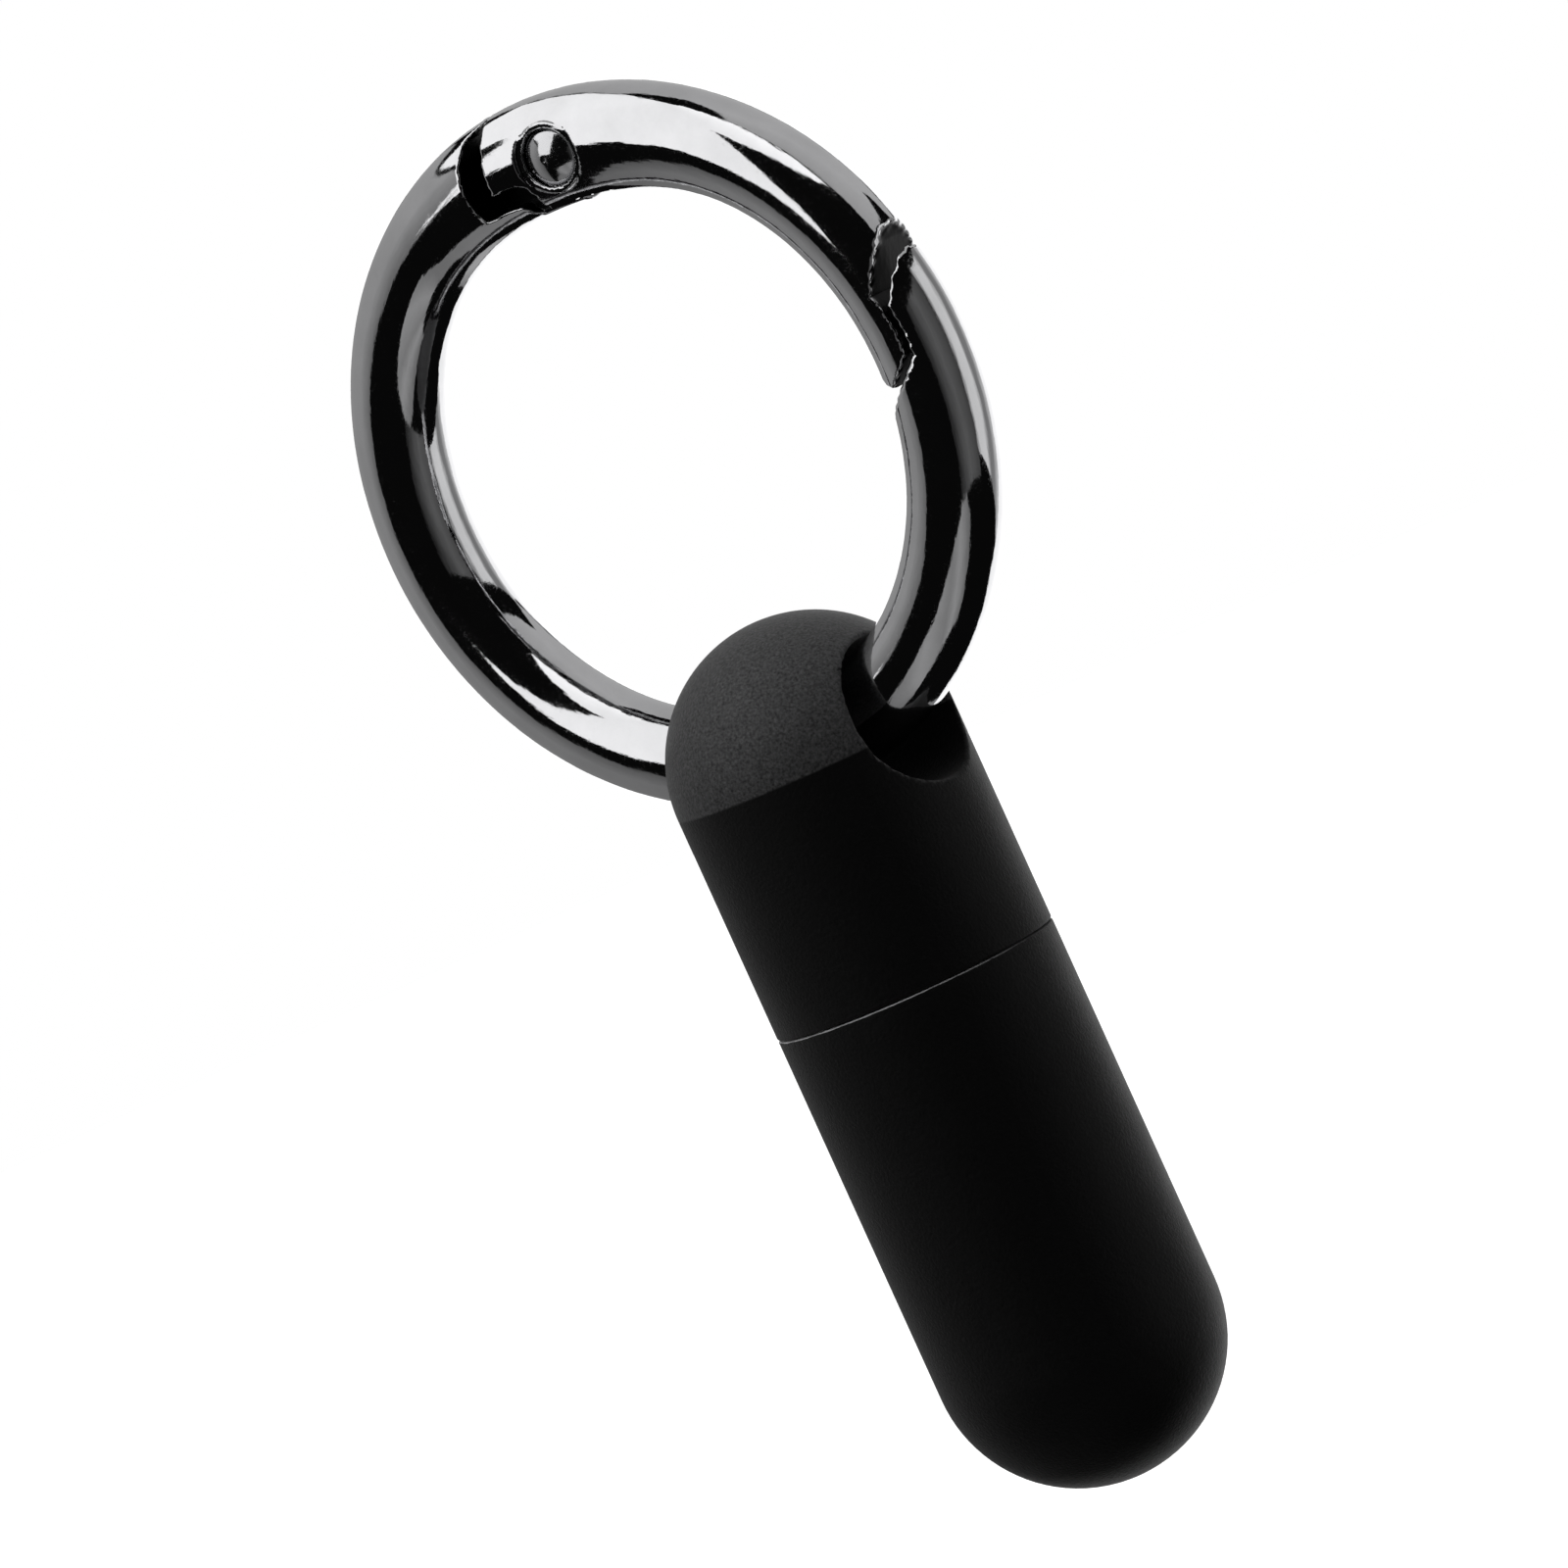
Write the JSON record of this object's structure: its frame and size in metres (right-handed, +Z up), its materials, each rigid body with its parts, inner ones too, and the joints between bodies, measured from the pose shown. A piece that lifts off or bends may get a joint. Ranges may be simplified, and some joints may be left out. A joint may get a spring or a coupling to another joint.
{
  "type": "carabiner keyring",
  "caption": "Round spring-gate ring carrying a small screw-together capsule with round ends, hung through a cross hole in its cap.",
  "frame": {"origin": "centre of the ring's opening, in the plane of the ring", "axes": "+Z up, away from the hanging capsule; +Y through the ring's opening, towards the back; +X towards the side where the gate closes"},
  "size_m": [0.035, 0.014, 0.0703],
  "materials": {
    "ring_body": "mirror polished dark nickel plating",
    "gate": "mirror polished dark nickel plating",
    "hinge_pin": "plated rivet, satin heads",
    "gate_spring": "drawn spring wire",
    "capsule_cap": "bead blasted and anodised matte black",
    "capsule_vessel": "bead blasted and anodised matte black",
    "seal_ring": "moulded nitrile rubber"
  },
  "bodies": {
    "ring": {"ring_body": "ring_body", "hinge_pin": "hinge_pin", "gate_spring": "gate_spring"},
    "gate": {"gate": "gate"},
    "cap": {"capsule_cap": "capsule_cap"},
    "seal": {"seal_ring": "seal_ring"},
    "vessel": {"capsule_vessel": "capsule_vessel"}
  },
  "joints": [
    {"name": "gate_hinge", "type": "hinge", "parent": "ring", "child": "gate", "pos_m": [0.0019, 0, 0.0146], "axis": [0, 1, 0], "range_deg": [0, 30], "stiffness_Nm_per_rad": 0.004, "springref_deg": -85.94, "deforming": ["gate_spring"]},
    {"name": "capsule_swing", "type": "hinge", "parent": "ring", "child": "cap", "pos_m": [0, 0, -0.01525], "axis": [1, 0, 0], "range_deg": [-110, 110]},
    {"name": "vessel_travel", "type": "slide", "parent": "cap", "child": "seal", "axis": [0, 0, -1], "range_m": [0, 0.00625]},
    {"name": "vessel_turn", "type": "hinge", "parent": "seal", "child": "vessel", "pos_m": [0, 0, -0.0273], "axis": [0, 0, -1], "range_deg": [0, 1800]}
  ],
  "couplings": [
    {"joint": "vessel_turn", "follows": "vessel_travel", "rad_per_m": 5026.5}
  ]
}
